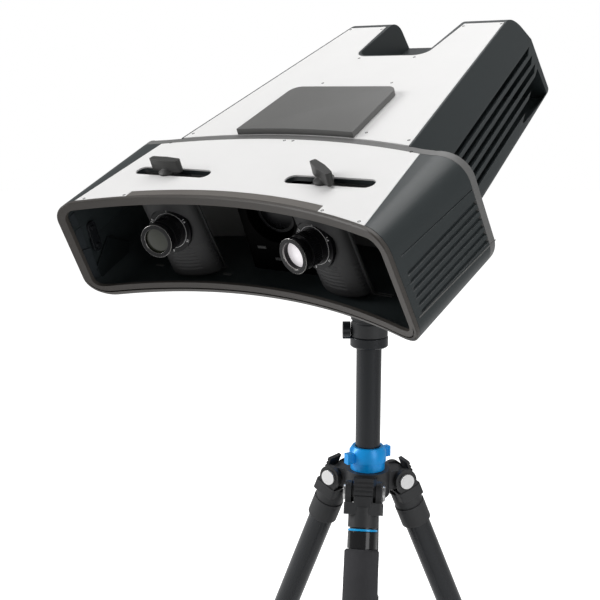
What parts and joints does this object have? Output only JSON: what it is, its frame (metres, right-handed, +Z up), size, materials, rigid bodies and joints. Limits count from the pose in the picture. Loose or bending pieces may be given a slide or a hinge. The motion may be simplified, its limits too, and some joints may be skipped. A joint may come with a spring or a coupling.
{
  "type": "three-d scanner",
  "caption": "Structured-light three-d scanner with a curved twin-camera beam and a long rear housing, on a three-way head and a folding tripod.",
  "frame": {"origin": "centre of the bounding box, on the floor", "axes": "+Z up, -Y the way the scanner looks, +X to the right of someone behind it"},
  "size_m": [0.4524, 0.4952, 0.9885],
  "materials": {
    "white_plate": "satin white paint",
    "dark_shell": "fine-textured dark grey",
    "warm_grey_trim": "warm grey satin",
    "panel_grey": "mid grey satin",
    "pod_grey": "charcoal matte",
    "lens_black": "black anodised",
    "lens_glass": "coated optical glass",
    "satin_black": "satin black anodised",
    "cast_black": "black textured casting",
    "blue_anodised": "bright blue anodised",
    "bright_steel": "bright steel",
    "foam_black": "black foam",
    "rubber_black": "black rubber"
  },
  "bodies": {
    "stand_hub": {"spider": "cast_black"},
    "collar": {"column_collar": "blue_anodised"},
    "column": {"column_tube": "satin_black", "column_top_plate": "satin_black", "column_hook": "cast_black", "head_base": "cast_black"},
    "pan_knob": {"pan_lock_knob": "satin_black"},
    "pan_stage": {"pan_body": "cast_black"},
    "tilt_stage": {"tilt_body": "cast_black"},
    "tilt_knob": {"tilt_lock_knob": "satin_black"},
    "scanner": {"side_tilt_cradle": "cast_black", "mounting_plate": "satin_black", "beam_upper_shell": "dark_shell", "beam_lower_shell": "dark_shell", "front_bezel": "warm_grey_trim", "beam_back_cap": "warm_grey_trim", "beam_top_plate": "white_plate", "visor_strip": "warm_grey_trim", "projector_housing": "dark_shell", "projector_lens": "lens_black", "left_adjust_plate": "satin_black", "rear_body": "dark_shell", "rear_top_plate": "white_plate", "raised_panel": "panel_grey"},
    "side_knob": {"side_lock_knob": "satin_black"},
    "left_camera": {"left_camera_pod": "pod_grey", "left_lens_barrel": "lens_black", "left_lens_glass": "lens_glass"},
    "left_lever": {"left_lock_lever": "panel_grey"},
    "left_focus": {"left_focus_ring": "lens_black"},
    "right_camera": {"right_camera_pod": "pod_grey", "right_lens_barrel": "lens_black", "right_lens_glass": "lens_glass"},
    "right_lever": {"right_lock_lever": "panel_grey"},
    "right_focus": {"right_focus_ring": "lens_black"},
    "leg_1": {"leg_casting_1": "cast_black", "pivot_bolt_1": "bright_steel", "upper_leg_tube_1": "satin_black", "foam_grip": "foam_black"},
    "angle_tab_1": {"angle_tab_1": "cast_black"},
    "upper_lock_1": {"upper_twist_lock_1": "rubber_black"},
    "middle_section_1": {"middle_leg_tube_1": "satin_black"},
    "lower_lock_1": {"lower_twist_lock_1": "rubber_black"},
    "lower_section_1": {"lower_leg_tube_1": "satin_black"},
    "leg_2": {"leg_casting_2": "cast_black", "pivot_bolt_2": "bright_steel", "upper_leg_tube_2": "satin_black"},
    "angle_tab_2": {"angle_tab_2": "cast_black"},
    "upper_lock_2": {"upper_twist_lock_2": "rubber_black"},
    "middle_section_2": {"middle_leg_tube_2": "satin_black"},
    "lower_lock_2": {"lower_twist_lock_2": "rubber_black"},
    "lower_section_2": {"lower_leg_tube_2": "satin_black"},
    "leg_3": {"leg_casting_3": "cast_black", "pivot_bolt_3": "bright_steel", "upper_leg_tube_3": "satin_black"},
    "angle_tab_3": {"angle_tab_3": "cast_black"},
    "upper_lock_3": {"upper_twist_lock_3": "rubber_black"},
    "middle_section_3": {"middle_leg_tube_3": "satin_black"},
    "lower_lock_3": {"lower_twist_lock_3": "rubber_black"},
    "lower_section_3": {"lower_leg_tube_3": "satin_black"}
  },
  "joints": [
    {"name": "collar_twist", "type": "hinge", "parent": "stand_hub", "child": "collar", "pos_m": [0.02578, 0.03326, 0.47847], "axis": [0, 0, 1], "range_deg": [-60, 60]},
    {"name": "column_lift", "type": "slide", "parent": "stand_hub", "child": "column", "axis": [0, 0, 1], "range_m": [-0.105, 0.11]},
    {"name": "pan_knob_turn", "type": "hinge", "parent": "column", "child": "pan_knob", "pos_m": [0.00866, 0.02109, 0.65347], "axis": [-0.8151, -0.5793, 0], "range_deg": [-180, 180]},
    {"name": "pan", "type": "hinge", "parent": "column", "child": "pan_stage", "pos_m": [0.02578, 0.03326, 0.64747], "axis": [0, 0, 1], "continuous": true},
    {"name": "tilt", "type": "hinge", "parent": "pan_stage", "child": "tilt_stage", "pos_m": [0.02578, 0.03326, 0.74297], "axis": [1, 0, 0], "range_deg": [-60, 50]},
    {"name": "tilt_knob_turn", "type": "hinge", "parent": "tilt_stage", "child": "tilt_knob", "pos_m": [0.05158, 0.03326, 0.74297], "axis": [1, 0, 0], "range_deg": [-180, 180]},
    {"name": "side_tilt", "type": "hinge", "parent": "tilt_stage", "child": "scanner", "pos_m": [0.02578, 0.01665, 0.77936], "axis": [0, 0.9097, 0.4152], "range_deg": [-25, 25]},
    {"name": "side_knob_turn", "type": "hinge", "parent": "scanner", "child": "side_knob", "pos_m": [0.02578, 0.03876, 0.78945], "axis": [0, 0.9097, 0.4152], "range_deg": [-180, 180]},
    {"name": "left_camera_slide", "type": "slide", "parent": "scanner", "child": "left_camera", "axis": [1, 0, 0], "range_m": [-0.0335, 0.0435]},
    {"name": "left_lever_turn", "type": "hinge", "parent": "left_camera", "child": "left_lever", "pos_m": [-0.06922, -0.18268, 0.83679], "axis": [0, -0.4152, 0.9097], "range_deg": [-45, 45]},
    {"name": "left_focus_turn", "type": "hinge", "parent": "left_camera", "child": "left_focus", "pos_m": [-0.05835, -0.21435, 0.77386], "axis": [0.1921, -0.944, -0.2683], "range_deg": [-90, 90]},
    {"name": "right_camera_slide", "type": "slide", "parent": "scanner", "child": "right_camera", "axis": [1, 0, 0], "range_m": [-0.0335, 0.0435]},
    {"name": "right_lever_turn", "type": "hinge", "parent": "right_camera", "child": "right_lever", "pos_m": [0.11078, -0.18268, 0.83679], "axis": [0, -0.4152, 0.9097], "range_deg": [-45, 45]},
    {"name": "right_focus_turn", "type": "hinge", "parent": "right_camera", "child": "right_focus", "pos_m": [0.0999, -0.21435, 0.77386], "axis": [-0.1921, -0.944, -0.2683], "range_deg": [-90, 90]},
    {"name": "leg_fold_1", "type": "hinge", "parent": "stand_hub", "child": "leg_1", "pos_m": [0.04371, -0.00194, 0.47847], "axis": [-0.891, -0.454, 0], "range_deg": [-20, 0]},
    {"name": "tab_pull_1", "type": "slide", "parent": "leg_1", "child": "angle_tab_1", "axis": [0.4179, -0.8202, 0.3907], "range_m": [0, 0.005]},
    {"name": "upper_lock_twist_1", "type": "hinge", "parent": "leg_1", "child": "upper_lock_1", "pos_m": [0.04371, -0.00194, 0.47847], "axis": [-0.1774, 0.3481, 0.9205], "range_deg": [-60, 60]},
    {"name": "middle_extend_1", "type": "slide", "parent": "leg_1", "child": "middle_section_1", "axis": [0.1774, -0.3481, -0.9205], "range_m": [0, 0.28]},
    {"name": "lower_lock_twist_1", "type": "hinge", "parent": "middle_section_1", "child": "lower_lock_1", "pos_m": [0.04371, -0.00194, 0.47847], "axis": [-0.1774, 0.3481, 0.9205], "range_deg": [-60, 60]},
    {"name": "lower_extend_1", "type": "slide", "parent": "middle_section_1", "child": "lower_section_1", "axis": [0.1774, -0.3481, -0.9205], "range_m": [0, 0.28]},
    {"name": "leg_fold_2", "type": "hinge", "parent": "stand_hub", "child": "leg_2", "pos_m": [0.04729, 0.06639, 0.47847], "axis": [0.8387, -0.5446, 0], "range_deg": [-20, 0]},
    {"name": "tab_pull_2", "type": "slide", "parent": "leg_2", "child": "angle_tab_2", "axis": [0.5013, 0.772, 0.3907], "range_m": [0, 0.005]},
    {"name": "upper_lock_twist_2", "type": "hinge", "parent": "leg_2", "child": "upper_lock_2", "pos_m": [0.04729, 0.06639, 0.47847], "axis": [-0.2128, -0.3277, 0.9205], "range_deg": [-60, 60]},
    {"name": "middle_extend_2", "type": "slide", "parent": "leg_2", "child": "middle_section_2", "axis": [0.2128, 0.3277, -0.9205], "range_m": [0, 0.28]},
    {"name": "lower_lock_twist_2", "type": "hinge", "parent": "middle_section_2", "child": "lower_lock_2", "pos_m": [0.04729, 0.06639, 0.47847], "axis": [-0.2128, -0.3277, 0.9205], "range_deg": [-60, 60]},
    {"name": "lower_extend_2", "type": "slide", "parent": "middle_section_2", "child": "lower_section_2", "axis": [0.2128, 0.3277, -0.9205], "range_m": [0, 0.28]},
    {"name": "leg_fold_3", "type": "hinge", "parent": "stand_hub", "child": "leg_3", "pos_m": [-0.01367, 0.03533, 0.47847], "axis": [0.0523, 0.9986, 0], "range_deg": [-20, 0]},
    {"name": "tab_pull_3", "type": "slide", "parent": "leg_3", "child": "angle_tab_3", "axis": [-0.9192, 0.0482, 0.3907], "range_m": [0, 0.005]},
    {"name": "upper_lock_twist_3", "type": "hinge", "parent": "leg_3", "child": "upper_lock_3", "pos_m": [-0.01367, 0.03533, 0.47847], "axis": [0.3902, -0.0204, 0.9205], "range_deg": [-60, 60]},
    {"name": "middle_extend_3", "type": "slide", "parent": "leg_3", "child": "middle_section_3", "axis": [-0.3902, 0.0204, -0.9205], "range_m": [0, 0.28]},
    {"name": "lower_lock_twist_3", "type": "hinge", "parent": "middle_section_3", "child": "lower_lock_3", "pos_m": [-0.01367, 0.03533, 0.47847], "axis": [0.3902, -0.0204, 0.9205], "range_deg": [-60, 60]},
    {"name": "lower_extend_3", "type": "slide", "parent": "middle_section_3", "child": "lower_section_3", "axis": [-0.3902, 0.0204, -0.9205], "range_m": [0, 0.28]}
  ]
}
